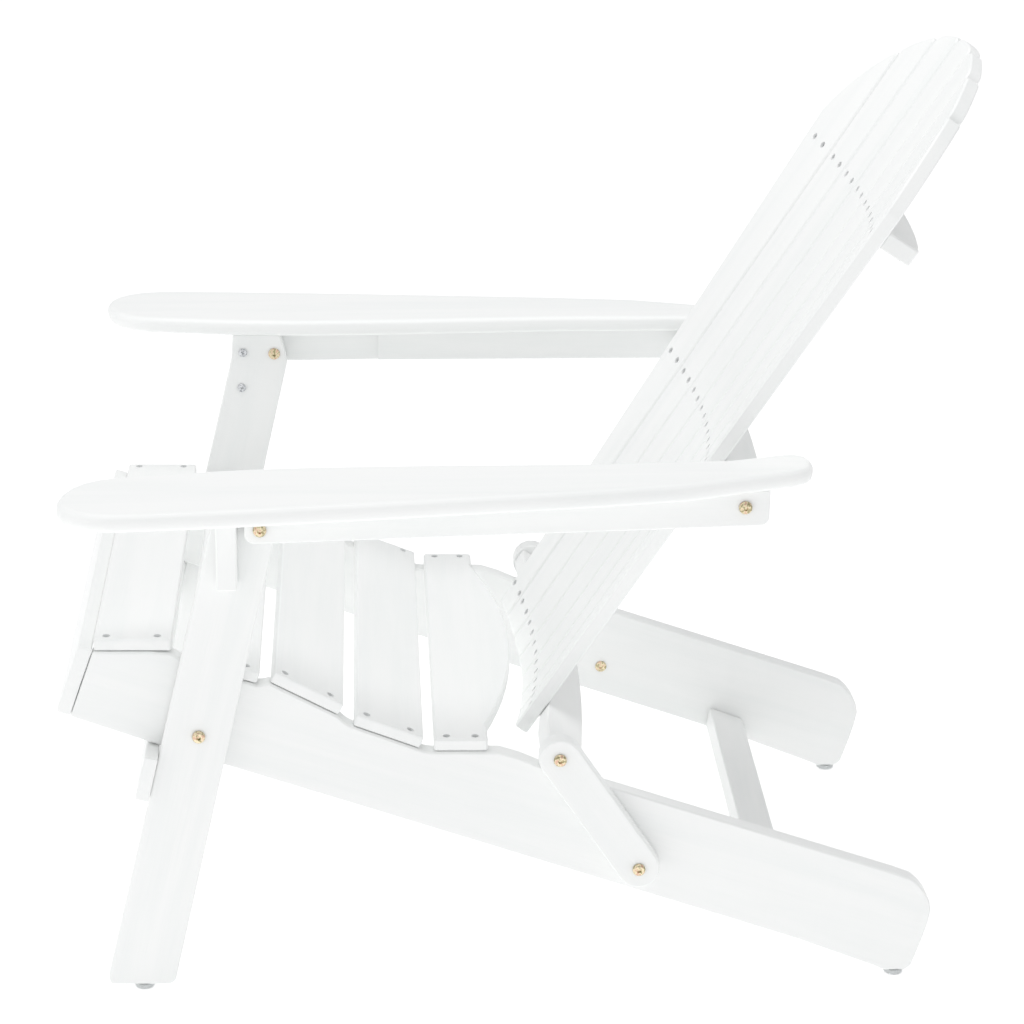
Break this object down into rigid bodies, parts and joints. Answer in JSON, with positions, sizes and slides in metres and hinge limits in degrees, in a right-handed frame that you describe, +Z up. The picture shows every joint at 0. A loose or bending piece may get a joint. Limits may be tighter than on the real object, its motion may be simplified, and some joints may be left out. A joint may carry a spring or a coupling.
{
  "type": "folding adirondack chair",
  "caption": "Folding lounge chair with sloping slatted seat, reclined hollow back with an arched top, broad flat armrests, and hinged legs and links that fold it flat.",
  "frame": {"origin": "on the floor under the middle of the chair's overall box", "axes": "+Z up; the sitter faces -Y; +X is the sitter's left; X = 0 is the plane of symmetry"},
  "size_m": [0.682, 0.8656, 0.8702],
  "materials": {
    "apron": "white satin paint",
    "arm_rail_left": "white satin paint",
    "arm_rail_right": "white satin paint",
    "armrest_left": "white satin paint",
    "armrest_right": "white satin paint",
    "back_slat_1": "white satin paint",
    "back_slat_2": "white satin paint",
    "back_slat_3": "white satin paint",
    "back_slat_4": "white satin paint",
    "back_slat_5": "white satin paint",
    "back_slat_6": "white satin paint",
    "back_slat_7": "white satin paint",
    "back_support_lower": "white satin paint",
    "back_support_middle": "white satin paint",
    "back_support_upper": "white satin paint",
    "bolt_arm_left": "yellow zinc plate",
    "bolt_arm_right": "yellow zinc plate",
    "bolt_back_left": "yellow zinc plate",
    "bolt_back_right": "yellow zinc plate",
    "bolt_leg_left": "yellow zinc plate",
    "bolt_leg_right": "yellow zinc plate",
    "bolt_link_low_left": "yellow zinc plate",
    "bolt_link_low_right": "yellow zinc plate",
    "bolt_link_top_left": "yellow zinc plate",
    "bolt_link_top_right": "yellow zinc plate",
    "bracket_left": "white satin paint",
    "bracket_right": "white satin paint",
    "bracket_screw_lower_left": "bright plated",
    "bracket_screw_lower_right": "bright plated",
    "bracket_screw_upper_left": "bright plated",
    "bracket_screw_upper_right": "bright plated",
    "foot_front_left": "clear moulded",
    "foot_front_right": "clear moulded",
    "foot_rear_left": "clear moulded",
    "foot_rear_right": "clear moulded",
    "insert_back_left": "yellow zinc plate",
    "insert_back_right": "yellow zinc plate",
    "insert_link_top_left": "yellow zinc plate",
    "insert_link_top_right": "yellow zinc plate",
    "leg_left": "white satin paint",
    "leg_right": "white satin paint",
    "link_left": "white satin paint",
    "link_right": "white satin paint",
    "rail_left": "white satin paint",
    "rail_right": "white satin paint",
    "rear_stretcher": "white satin paint",
    "seat_slat_1": "white satin paint",
    "seat_slat_2": "white satin paint",
    "seat_slat_3": "white satin paint",
    "seat_slat_4": "white satin paint",
    "seat_slat_5": "white satin paint",
    "sleeve_arm_left": "yellow zinc plate",
    "sleeve_arm_right": "yellow zinc plate",
    "sleeve_leg_left": "yellow zinc plate",
    "sleeve_leg_right": "yellow zinc plate",
    "sleeve_link_low_left": "yellow zinc plate",
    "sleeve_link_low_right": "yellow zinc plate",
    "stop_bar": "white satin paint"
  },
  "bodies": {
    "seat_frame": {"apron": "apron", "bolt_leg_left": "bolt_leg_left", "bolt_leg_right": "bolt_leg_right", "bolt_link_low_left": "bolt_link_low_left", "bolt_link_low_right": "bolt_link_low_right", "foot_rear_left": "foot_rear_left", "foot_rear_right": "foot_rear_right", "rail_left": "rail_left", "rail_right": "rail_right", "rear_stretcher": "rear_stretcher", "seat_slat_1": "seat_slat_1", "seat_slat_2": "seat_slat_2", "seat_slat_3": "seat_slat_3", "seat_slat_4": "seat_slat_4", "seat_slat_5": "seat_slat_5", "sleeve_leg_left": "sleeve_leg_left", "sleeve_leg_right": "sleeve_leg_right", "sleeve_link_low_left": "sleeve_link_low_left", "sleeve_link_low_right": "sleeve_link_low_right"},
    "legs": {"bracket_left": "bracket_left", "bracket_right": "bracket_right", "bracket_screw_lower_left": "bracket_screw_lower_left", "bracket_screw_lower_right": "bracket_screw_lower_right", "bracket_screw_upper_left": "bracket_screw_upper_left", "bracket_screw_upper_right": "bracket_screw_upper_right", "foot_front_left": "foot_front_left", "foot_front_right": "foot_front_right", "leg_left": "leg_left", "leg_right": "leg_right", "sleeve_arm_left": "sleeve_arm_left", "sleeve_arm_right": "sleeve_arm_right", "stop_bar": "stop_bar"},
    "link_left": {"link_left": "link_left"},
    "link_right": {"link_right": "link_right"},
    "backrest": {"back_slat_1": "back_slat_1", "back_slat_2": "back_slat_2", "back_slat_3": "back_slat_3", "back_slat_4": "back_slat_4", "back_slat_5": "back_slat_5", "back_slat_6": "back_slat_6", "back_slat_7": "back_slat_7", "back_support_lower": "back_support_lower", "back_support_middle": "back_support_middle", "back_support_upper": "back_support_upper", "bolt_back_left": "bolt_back_left", "bolt_back_right": "bolt_back_right", "bolt_link_top_left": "bolt_link_top_left", "bolt_link_top_right": "bolt_link_top_right", "insert_back_left": "insert_back_left", "insert_back_right": "insert_back_right", "insert_link_top_left": "insert_link_top_left", "insert_link_top_right": "insert_link_top_right"},
    "arm_left": {"arm_rail_left": "arm_rail_left", "armrest_left": "armrest_left", "bolt_arm_left": "bolt_arm_left"},
    "arm_right": {"arm_rail_right": "arm_rail_right", "armrest_right": "armrest_right", "bolt_arm_right": "bolt_arm_right"}
  },
  "joints": [
    {"name": "link_left_fold", "type": "hinge", "parent": "seat_frame", "child": "link_left", "pos_m": [0, 0.11436, 0.127], "axis": [1, 0, 0], "range_deg": [-88, 0]},
    {"name": "link_right_fold", "type": "hinge", "parent": "seat_frame", "child": "link_right", "pos_m": [0, 0.11436, 0.127], "axis": [1, 0, 0], "range_deg": [-88, 0]},
    {"name": "leg_fold", "type": "hinge", "parent": "seat_frame", "child": "legs", "pos_m": [0, -0.30064, 0.267], "axis": [1, 0, 0], "range_deg": [0, 76]},
    {"name": "back_fold", "type": "hinge", "parent": "link_left", "child": "backrest", "pos_m": [0, 0.03636, 0.242], "axis": [1, 0, 0], "range_deg": [0, 191.4]},
    {"name": "arm_left_fold", "type": "hinge", "parent": "backrest", "child": "arm_left", "pos_m": [0, 0.19836, 0.496], "axis": [1, 0, 0], "range_deg": [-114.4, 0]},
    {"name": "arm_right_fold", "type": "hinge", "parent": "backrest", "child": "arm_right", "pos_m": [0, 0.19836, 0.496], "axis": [1, 0, 0], "range_deg": [-114.4, 0]}
  ],
  "couplings": [
    {"joint": "link_right_fold", "follows": "link_left_fold", "ratio": 1},
    {"joint": "leg_fold", "follows": "link_left_fold", "ratio": -0.86364},
    {"joint": "back_fold", "follows": "link_left_fold", "ratio": -2.175},
    {"joint": "arm_left_fold", "follows": "link_left_fold", "ratio": 1.3},
    {"joint": "arm_right_fold", "follows": "link_left_fold", "ratio": 1.3}
  ]
}
